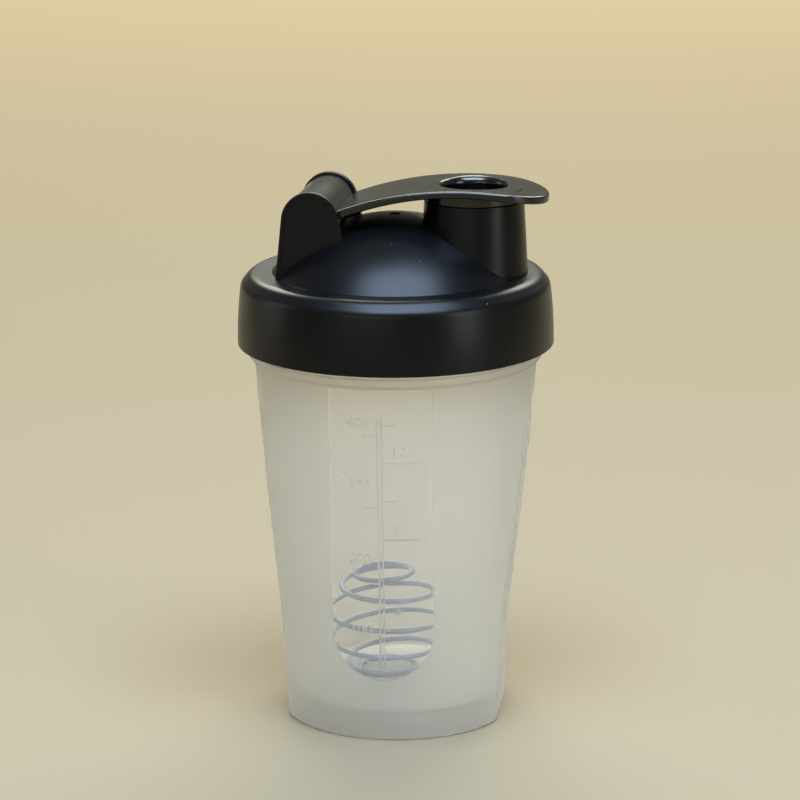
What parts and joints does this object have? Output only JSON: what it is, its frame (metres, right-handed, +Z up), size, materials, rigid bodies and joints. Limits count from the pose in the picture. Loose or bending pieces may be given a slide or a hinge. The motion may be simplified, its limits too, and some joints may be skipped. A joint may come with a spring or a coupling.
{
  "type": "protein shaker bottle",
  "caption": "Frosted shaker cup with grip flats, a threaded domed lid with pouring spout, a hinged flip cap and a loose wire whisk ball.",
  "frame": {"origin": "centre of the foot ring, on the surface the cup stands on", "axes": "+Z up along the cup's axis, +X towards the spout and the flip cap's tab, -Y towards the clear strip with the scale"},
  "size_m": [0.0982, 0.0982, 0.1692],
  "materials": {
    "frosted_cup": "translucent frosted",
    "black_plastic": "satin, fine moulded grain",
    "gasket_silicone": "matt silicone",
    "steel_wire": "drawn stainless wire"
  },
  "bodies": {
    "cup": {"cup": "frosted_cup"},
    "gasket": {"lid_gasket": "gasket_silicone"},
    "lid": {"lid": "black_plastic"},
    "flip_cap": {"flip_cap": "black_plastic"},
    "whisk_ball": {"whisk_ball": "steel_wire"}
  },
  "joints": [
    {"name": "lid_rise", "type": "slide", "parent": "cup", "child": "gasket", "axis": [0, 0, 1], "range_m": [0, 0.03]},
    {"name": "lid_turn", "type": "hinge", "parent": "gasket", "child": "lid", "pos_m": [0, 0, 0.13], "axis": [0, 0, 1], "range_deg": [0, 2160]},
    {"name": "cap_hinge", "type": "hinge", "parent": "lid", "child": "flip_cap", "pos_m": [-0.0235, 0, 0.1595], "axis": [0, -1, 0], "range_deg": [0, 200]},
    {"name": "ball_slide", "type": "slide", "parent": "cup", "child": "whisk_ball", "axis": [0, 0, 1], "range_m": [0, 0.109]}
  ],
  "couplings": [
    {"joint": "lid_turn", "follows": "lid_rise", "rad_per_m": 1256.6}
  ]
}
